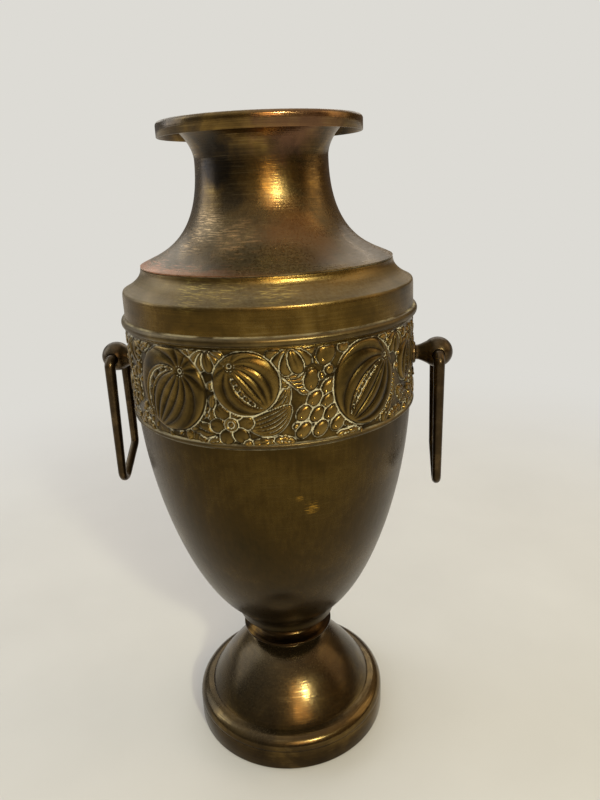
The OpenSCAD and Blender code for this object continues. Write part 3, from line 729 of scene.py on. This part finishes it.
def blur(field, sigma_mm):
    """Softens a field of the strip. It wraps round the strip's ends."""
    for axis, step in ((1, half_girth / columns), (0, (frieze_top - frieze_low) / rows)):
        reach = max(1, int(3 * sigma_mm / step))
        k = np.exp(-0.5 * (np.arange(-reach, reach + 1) * step / sigma_mm) ** 2)
        k /= k.sum()
        pad = [(0, 0), (0, 0)]
        pad[axis] = (reach, reach)
        wide = np.pad(field, pad, mode="wrap" if axis == 1 else "edge")
        field = sum(k[i] * np.take(wide, np.arange(i, i + field.shape[axis]), axis=axis)
                    for i in range(len(k)))
    return field


# The bare ground is faintly pebbled. Where the strip lies deeper or higher than what is
# about it is kept for the finish: hollows for painted shade and dried polish, and crests
# that hands have rubbed, which also carry a painted highlight.
pebble_high = 0.05
pebble = blur(seeds.normal(size=S.shape), 0.4)
pebble = pebble_high * np.clip(1 + pebble / np.abs(pebble).max(), 0, 2)
relief = np.where(relief < pebble_high, pebble, relief)
relief = blur(relief, 0.17)
relief[:, -1] = relief[:, 0] = (relief[:, 0] + relief[:, -1]) / 2
hollow = np.clip((blur(relief, 0.75) - relief) / 0.34, 0, 1)
caked = np.clip((blur(relief, 0.5) - relief) / 0.26, 0, 1) * blur(wiped, 0.3)
crest = np.clip((relief - blur(relief, 1.3)) / 0.42, 0, 1)

# The strip is a grid bent to half a circle. Its last rows turn in to its inner face.
clear_selection()
section_points = rows + 4
bpy.ops.mesh.primitive_grid_add(x_subdivisions=columns, y_subdivisions=section_points - 1,
                                size=0.2)
strip = bpy.context.object
strip.name = "embossed_strip_front"
angle = along / half_girth * math.pi - math.pi / 2
inner_r = frieze_r - frieze_sheet
radius = np.vstack([frieze_r + relief, np.full((2, columns + 1), inner_r),
                    frieze_r + relief[:1]])
level = np.concatenate([upward, [frieze_top, frieze_low, frieze_low]])
place = np.stack([radius * np.cos(angle)[None, :], radius * np.sin(angle)[None, :],
                  np.repeat(level[:, None], columns + 1, axis=1)], axis=-1)
strip.data.vertices.foreach_set("co", (place.reshape(-1) * MM).astype(np.float32))
for label, field in (("hollow", hollow), ("residue", caked), ("rubbed", crest)):
    layer = strip.data.attributes.new(label, "FLOAT", "POINT")
    whole = np.vstack([field, np.zeros((2, columns + 1)), field[:1]])
    layer.data.foreach_set("value", whole.reshape(-1).astype(np.float32))
bpy.ops.object.mode_set(mode="EDIT")
bpy.ops.mesh.select_all(action="SELECT")
bpy.ops.mesh.remove_doubles(threshold=1e-6)
bpy.ops.mesh.select_all(action="DESELECT")
bpy.ops.mesh.select_mode(type="EDGE")
bpy.ops.mesh.select_non_manifold(extend=False, use_wire=False, use_boundary=True,
                                 use_multi_face=False, use_non_contiguous=False, use_verts=False)
bpy.ops.mesh.fill_holes(sides=0)
bpy.ops.mesh.select_mode(type="VERT")
bpy.ops.mesh.select_all(action="SELECT")
bpy.ops.mesh.normals_make_consistent(inside=False)
bpy.ops.object.mode_set(mode="OBJECT")
bpy.ops.object.shade_smooth_by_angle(angle=math.radians(70))


def polish_wear_and_painted_light(tree, place, tone, bare, rough_here):
    """Crests are rubbed to gold and carry a painted highlight, hollows get painted shade, and
    dried white polish fills the deepest.
    """
    residue = add_node(tree, "Attribute", attribute_name="residue").outputs["Fac"]
    rubbed = add_node(tree, "Attribute", attribute_name="rubbed").outputs["Fac"]
    sunk = add_node(tree, "Attribute", attribute_name="hollow").outputs["Fac"]
    crumb_mm, patch_mm = 1.3, 11
    crumbs = add_node(tree, "TexNoise", {
        "Vector": place, "Scale": 1000 / crumb_mm, "Detail": 3.0, "Roughness": 0.6})
    patchy = add_node(tree, "TexNoise", {"Vector": place, "Scale": 1000 / patch_mm, "Detail": 2.0})
    shade = add_node(tree, "MapRange", {"Value": sunk, "From Max": 0.7, "To Max": 0.75})
    rubbed_gold_and_highlight = add_node(tree, "MapRange", {"Value": rubbed, "From Min": 0.15, "To Max": 0.5})
    fill = add_node(tree, "Math", {0: patchy, 1: 1.5, 2: crumbs}, operation="MULTIPLY_ADD")
    fill = add_node(tree, "Math", {0: fill, 1: residue}, operation="MULTIPLY")
    fill = add_node(tree, "MapRange", {
        "Value": fill, "From Min": 0.52, "From Max": 1.15, "To Max": 0.92})
    for share, layer_tone in ((shade, "#1a130a"), (rubbed_gold_and_highlight, "#a08347"), (fill, "#cbc2a0")):
        tone = add_node(tree, "Mix", {
            0: share, 6: tone, 7: ink(layer_tone)}, data_type="RGBA").outputs[2]
    bare = add_node(tree, "MapRange", {"Value": fill, "To Min": 0.95, "To Max": 0.0})
    dull = add_node(tree, "Math", {
        0: fill, 1: 0.45, 2: rough_here}, operation="MULTIPLY_ADD", use_clamp=True)
    return tone, bare, dull


# Stamped brass, polished over its raised parts for years. The crests are rubbed golden and
# carry a painted highlight, the ground between them stays dark with painted shade in its
# hollows, and a chalky cream line runs round every leaf and fruit.
strip.data.materials.append(patina("embossed_brass_golden_patina", "#2a210e", "#4c3c1a",
                                   "#755e2d", rough=(0.22, 0.34), blotch_mm=18.0,
                                   grain_mm=(2.0, 2.0), turned=0.0, dust_and_top_sheen=0.1, scratch=0.0,
                                   colour=polish_wear_and_painted_light))


def twin(piece, name, move):
    """A copy with its own mesh, moved or turned into its place."""
    other = piece.copy()
    other.data = piece.data.copy()
    other.name = name
    other.data.transform(move)
    bpy.context.scene.collection.objects.link(other)
    return other


half_turn = Matrix.Rotation(math.pi, 4, "Z")
for piece in (strip, twin(strip, "embossed_strip_back", half_turn)):
    fit(piece, "frieze_band")

# Beads. Two half-round brass wires are bent to rings and soldered over the joints
# above and below the frieze.

upper_bead_z = 220.8
lower_bead_z = 179.8

# Drawn brass wire, duller than the sheets. Old polish has dried along both of its edges.
wire_metal = patina("half_round_brass_wire", "#352b19", "#544528", "#7c693f", rough=(0.26, 0.40),
                    dust_and_top_sheen=0.25, caked=(222.65, 219.0, 180.85, 178.8))
for name, node, z, r, out, high in (
        ("upper_bead_wire", "upper_bead", upper_bead_z, band_r, 1.75, 1.9),
        ("lower_bead_wire", "lower_bead", lower_bead_z, frieze_r + 0.05, 1.25, 1.15)):
    wire = spin_sheet(name, bow((r, z), out, high, -90, 90, 14), 256, 50)
    wire.data.materials.append(wire_metal)
    fit(wire, node)

# Bowl. The largest sheet of spun brass tapers to a short neck with a flat floor,
# through which the tie bolt goes. It has a shallow dent low on its front.

bowl_r = 63.5
bowl_top = 178.0
bowl_bend_r, bowl_bend_z = 27.9, 69.7
bowl_foot_r, bowl_z = 24.8, 61.8
bolt_hole = 3.3
dent_r = 11.0
dent_deep = 0.75
bowl_line = curve((bowl_bend_r, bowl_bend_z), (bowl_bend_r + 15.8, bowl_bend_z + 12.8),
                  (bowl_r - 2.2, bowl_top - 49.1), (bowl_r, bowl_top), 60)
bowl_neck = curve((bowl_foot_r, bowl_z), (bowl_foot_r + 0.6, bowl_z + 3),
                  (bowl_bend_r - 2.5, bowl_bend_z - 3), (bowl_bend_r, bowl_bend_z), 12)
bowl_wall = offset(bowl_neck + bowl_line[1:], sheet)
bowl_section = ([(bolt_hole, bowl_z), (bowl_foot_r - 0.4, bowl_z),
                 (bowl_foot_r - 0.08, bowl_z + 0.12)] + bowl_neck[1:] + bowl_line[1:]
                + [(bowl_r, frieze_low - seam), (skirt_r, frieze_low + seam),
                   (skirt_r, frieze_low + lap), (skirt_r - sheet, frieze_low + lap),
                   (skirt_r - sheet, frieze_low - 1)]
                + bowl_wall[-2:2:-1]
                + [(bowl_foot_r - sheet, bowl_z + sheet), (bolt_hole, bowl_z + sheet)])
bowl = spin_sheet("bowl_sheet", bowl_section, 320)
dent = Vector((4.7, -44.3, 94.7)) * MM
for point in bowl.data.vertices:
    nearness = 1 - (point.co - dent).length / (dent_r * MM)
    if nearness > 0:
        inward = Vector((-point.co.x, -point.co.y, 0)).normalized()
        point.co += inward * dent_deep * MM * nearness * nearness * (3 - 2 * nearness)

# Spun brass gone dark olive. It was brushed upwards here, so faint streaks run down it,
# and it is hardly polished. It is darker low down, near the collar. A few small knocks
# show golden metal.
bowl.data.materials.append(patina(
    "spun_brass_dark_patina", "#28210c", "#3f3013", "#59461e", rough=(0.24, 0.36),
    blotch_mm=46.0, grain_mm=(1.6, 40.0), scratch=0.03, dust_and_top_sheen=0.2, spread=0.32, caked=(178.3,),
    stains_and_painted_light=((0, -40, 62, 22, 0.6, "#1f190c"), (-30, -12, 74, 14, 0.45, "#231c10"),
            (18, 34, 66, 20, 0.6, "#1f190c")),
    rubs=((22, -57, 150, 3.6, 0.9, "#cc9a3a"), (17, -60, 155, 2.0, 0.7, "#cc9a3a"),
          (-46, -34, 152, 3.0, 0.5, "#b08a40"), (40, 34, 130, 4, 0.6, "#b08a40"))))
fit(bowl, "bowl")

# Stem collar. A turned brass collar with a hollow waist and one thin flange,
# clamped between the bowl and the foot.

flange_r = 23.2
flange_z = 52.3
flange_round = 0.5
waist_r = 17.8
stem_r = 15.5
foot_top = 46.0
flange_in = flange_r - flange_round
waist = curve((waist_r + 2.7, bowl_z), (waist_r - 0.9, bowl_z - 2.6),
              (waist_r - 0.9, flange_z + 3.4), (flange_in, flange_z + 0.8), 24)
under = curve((flange_in, flange_z - 0.7), (stem_r + 3, flange_z - 2),
              (stem_r, flange_z - 3.6), (stem_r, foot_top), 20)
collar_section = ([(bolt_hole, bowl_z)] + waist
                  + bow((flange_in, flange_z), flange_round, 0.72, 70, -70, 8) + under
                  + [(bolt_hole, foot_top)])
stem_collar = spin_sheet("stem_collar_turned", collar_section[::-1])

# Turned brass with a dark tarnish, made nearly black all over as painted shade from the
# bowl above it, and amber in its paler blotches.
stem_collar.data.materials.append(patina(
    "turned_brass_patina_painted_shade", "#171009", "#2e2110", "#6f5222", rough=(0.16, 0.30), dust_and_top_sheen=0.0,
    caked=(bowl_z,)))
fit(stem_collar, "stem_collar")

# Foot. A dome of spun brass, with a quarter-round moulding below its groove, stands
# on an upright brass ring with a turned-in edge. A fine dark line parts the two.

groove_r, groove_z = 42.9, 17.6
base_r = 49.9
base_h = 11.0
base_t = 1.2
rest_w = 4.5
dome_low = (groove_r - 0.9, groove_z + 1.4)
dome_top = (stem_r + 3, foot_top - 1.7)
dome_line = curve(dome_low, (groove_r - 6.4, groove_z + 10.4),
                  (stem_r + 10, foot_top - 4), dome_top, 44)
stem_fillet = curve(dome_top, (stem_r + 1.1, foot_top - 1.3), (stem_r, foot_top - 0.9),
                    (stem_r, foot_top), 10)
torus = bow((groove_r, base_h), base_r - groove_r, groove_z - base_h, 3, 88, 22)
torus_in = bow((groove_r, base_h), base_r - groove_r - sheet, groove_z - base_h - sheet,
               0, 80, 10)
dome_section = ([(base_r - 0.5, base_h), (base_r - 0.12, base_h + 0.12)] + torus
                + [(groove_r - 0.25, groove_z + 0.1)] + dome_line + stem_fillet[1:]
                + [(bolt_hole, foot_top), (bolt_hole, foot_top - sheet),
                   (stem_r - 0.6, foot_top - sheet)]
                + offset(dome_line, sheet)[-3:0:-1] + [(groove_r - 0.7, groove_z - sheet)]
                + torus_in[::-1])
foot_dome = spin_sheet("foot_dome_sheet", dome_section)
ring_section = [(base_r - base_t, base_h), (base_r - base_t, base_t), (base_r - rest_w, base_t),
                (base_r - rest_w, 0), (base_r - 0.9, 0), (base_r - 0.35, 0.12),
                (base_r - 0.08, 0.5), (base_r, 1.0), (base_r, base_h - 0.4),
                (base_r - 0.12, base_h - 0.12), (base_r - 0.5, base_h)]
base_ring = spin_sheet("base_ring_sheet", ring_section)

# Spun brass with a reddish brown tarnish. It is the smoothest part, so the lamp makes a
# clear spot on the dome, and a dark patch painted over that spot dims it as painted shade.
# The dome is also darker at both sides and at the back.
foot_metal = patina(
    "spun_brass_reddish_patina", "#241b10", "#44351d", "#6b552d", rough=(0.13, 0.26), dust_and_top_sheen=0.14,
    spread=0.24,
    stains_and_painted_light=((11, -34, 29, 9, 0.5, "#2e2010"), (30, -18, 38, 16, 0.6, "#2c1b0e"),
            (-26, -20, 40, 14, 0.4, "#362a1c"), (0, 34, 36, 18, 0.5, "#2c1b0e")))
for piece, node in ((foot_dome, "foot_dome"), (base_ring, "base_ring")):
    piece.data.materials.append(foot_metal)
    fit(piece, node)

# Lugs. A turned brass ball on a narrow neck, screwed through the band, with a small
# rounded collar at the wall. A hole across the ball takes the handle's ends.

ball_x = 75.5
ball_r = 6.85
shank_r = 2.0
shank_end = 56.9
neck_r = 3.3
wall_x = 62.6
collar_x = 65.6
collar_r = 5.0
rod_r = 2.5
pintle_hole = 2.85
lug_line = ([(0, shank_end), (shank_r - 0.2, shank_end), (shank_r, shank_end + 0.3),
             (shank_r, collar_x), (neck_r - 0.3, collar_x), (neck_r, collar_x + 0.3)]
            + curve((neck_r, collar_x + 0.4), (neck_r, collar_x + 1.6),
                    (neck_r + 0.4, collar_x + 2.4), (5.15, ball_x - 4.52), 8)[1:]
            + bow((0, ball_x), ball_r, ball_r, -36, 90, 30))
lug_line = [(max(r, 0.0), x) for r, x in lug_line]
right_lug = spin_sheet("right_lug_ball", lug_line, 96, 40, "X", (0, 0, hinge_z))
clear_selection()
bpy.ops.mesh.primitive_cylinder_add(vertices=64, radius=pintle_hole * MM, depth=0.04,
                                    location=(ball_x * MM, 0, hinge_z * MM),
                                    rotation=(math.pi / 2, 0, 0))
drill = bpy.context.object
clear_selection()
right_lug.select_set(True)
bpy.context.view_layer.objects.active = right_lug
hole = right_lug.modifiers.new("pintle_hole", "BOOLEAN")
hole.operation = "DIFFERENCE"
hole.solver = "EXACT"
hole.object = drill
bpy.ops.object.modifier_apply(modifier="pintle_hole")
bpy.data.objects.remove(drill)
bpy.ops.object.shade_smooth_by_angle(angle=math.radians(30))
collar_line = ([(shank_r, wall_x), (collar_r, wall_x), (collar_r, collar_x - 1.2)]
               + bow((collar_r - 0.8, collar_x - 1), 0.8, 1.0, 0, 90, 8)
               + [(shank_r + 1.2, collar_x), (shank_r, collar_x)])
right_collar = spin_sheet("right_lug_collar_ring", collar_line, 72, 40, "X", (0, 0, hinge_z))

# Turned brass, dark as bronze with hand grease. Small parts are mottled more finely.
lug_metal = patina("turned_brass_dark_patina", "#241c12", "#453724", "#6f5b3e",
                   rough=(0.24, 0.36), blotch_mm=9.0, grain_mm=(2.5, 2.5), scratch=0.0,
                   dust_and_top_sheen=0.2, turned=0.0, spread=0.36)
for piece, node, left_name in ((right_lug, "lug", "left_lug_ball"),
                               (right_collar, "lug_collar", "left_lug_collar_ring")):
    piece.data.materials.append(lug_metal)
    left_piece = twin(piece, left_name, half_turn)
    fit(piece, "right_" + node)
    fit(left_piece, "left_" + node)

# Handles. Each is one brass rod, drawn thinner between its ends and bent to a bail
# whose ends turn into the ball from both sides, so that it swings freely.

bar_r = 1.95
near_leg, far_leg = 62.8, 47.7
corners = [(-1.0, 0.0), (-9.7, 0.0), (-13.5, -near_leg), (7.9, -far_leg), (9.7, 0.0), (1.0, 0.0)]
bends = (3.2, 3.8, 3.8, 3.2)
rods = (rod_r, bar_r, bar_r, rod_r)
clear_selection()
bpy.ops.mesh.primitive_circle_add(vertices=32, radius=rod_r * MM,
                                  location=(0, corners[0][0] * MM, 0),
                                  rotation=(math.pi / 2, 0, 0))
bail = bpy.context.object
bail.name = "right_bail_rod"
bpy.ops.object.transform_apply(location=True, rotation=True, scale=True)
bpy.ops.object.mode_set(mode="EDIT")
bpy.ops.mesh.select_all(action="SELECT")
here = Vector(corners[0])
thick = rod_r
for i in range(1, 5):
    before, corner, after = (Vector(corners[k]) for k in (i - 1, i, i + 1))
    way_in = (corner - before).normalized()
    way_out = (after - corner).normalized()
    swing = way_in.angle(way_out)
    short = bends[i - 1] * math.tan(swing / 2)
    start = corner - way_in * short
    step = (start - here) * MM
    bpy.ops.mesh.extrude_region_move(TRANSFORM_OT_translate={"value": (0, step.x, step.y)})
    size = rods[i - 1] / thick
    bpy.ops.transform.resize(value=(size, size, size),
                             center_override=(0, start.x * MM, start.y * MM))
    thick = rods[i - 1]
    hub = start + Vector((-way_in.y, way_in.x)) * bends[i - 1]
    bpy.ops.mesh.spin(steps=12, angle=-swing, center=(0, hub.x * MM, hub.y * MM), axis=(1, 0, 0))
    here = corner + way_out * short
step = (Vector(corners[5]) - here) * MM
bpy.ops.mesh.extrude_region_move(TRANSFORM_OT_translate={"value": (0, step.x, step.y)})
bpy.ops.mesh.select_all(action="SELECT")
bpy.ops.mesh.remove_doubles(threshold=1e-6)
bpy.ops.mesh.fill_holes(sides=40)
bpy.ops.mesh.normals_make_consistent(inside=False)
bpy.ops.transform.translate(value=(ball_x * MM, 0, hinge_z * MM))
bpy.ops.object.mode_set(mode="OBJECT")
bpy.ops.object.shade_smooth_by_angle(angle=math.radians(40))
left_bail = twin(bail, "left_bail_rod", Matrix.Translation((-2 * ball_x * MM, 0, 0)))

# Drawn brass rod, as dark and dull as the lugs.
bail_metal = patina("drawn_brass_rod_patina", "#251d13", "#433624", "#69563b",
                    rough=(0.24, 0.36), blotch_mm=9.0, grain_mm=(2.5, 2.5), scratch=0.0,
                    dust_and_top_sheen=0.15, turned=0.0, spread=0.42)
for piece, side in ((bail, "right"), (left_bail, "left")):
    piece.data.materials.append(bail_metal)
    fit(piece, side + "_handle", side + "_bail")

# Hidden fastenings. A steel tie bolt with its nut and washers clamps bowl, collar and
# foot over a rubber washer. Brass nuts on saddle washers hold the lugs from inside.

# Zinc plate is an even pale grey with faint clouds, and moulded rubber is dull and black
# with a fine bloom. Each has two tones and a count of specks for a metre.
finishes = {}
for name, dark, light, specks, detail, metallic, rough in (
        ("zinc_plated_steel", "#8d9095", "#b9bcc0", 400.0, 3.0, 1.0, 0.38),
        ("black_nitrile_rubber", "#1b1b1b", "#2c2b2a", 700.0, 4.0, 0.0, 0.75)):
    finishes[name] = bpy.data.materials.new(name)
    tree = empty_tree(finishes[name])
    place = add_node(tree, "TexCoord").outputs["Object"]
    cloud = add_node(tree, "TexNoise", {"Vector": place, "Scale": specks, "Detail": detail})
    tone = add_node(tree, "Mix", {0: cloud, 6: ink(dark), 7: ink(light)}, data_type="RGBA")
    shader = add_node(tree, "BsdfPrincipled", {
        "Base Color": tone.outputs[2], "Metallic": metallic, "Roughness": rough})
    add_node(tree, "OutputMaterial", {"Surface": shader})
zinc, rubber = finishes.values()

# Drawn brass that was never polished or handled is still bright yellow.
bright_metal = patina("bright_drawn_brass", "#8a6a2c", "#b08d42", "#cda957",
                      rough=(0.28, 0.38), blotch_mm=9.0, scratch=0.2, dust_and_top_sheen=0.1, turned=0.0)
for metal, nodes in ((zinc, ("tie_bolt", "bolt_washer", "foot_washer", "foot_nut")),
                     (rubber, ("seal_washer",)),
                     (bright_metal, ("left_lug_nut", "right_lug_nut", "left_saddle_washer",
                                     "right_saddle_washer"))):
    for node in nodes:
        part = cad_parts[node]
        part.data.materials.clear()
        part.data.materials.append(metal)
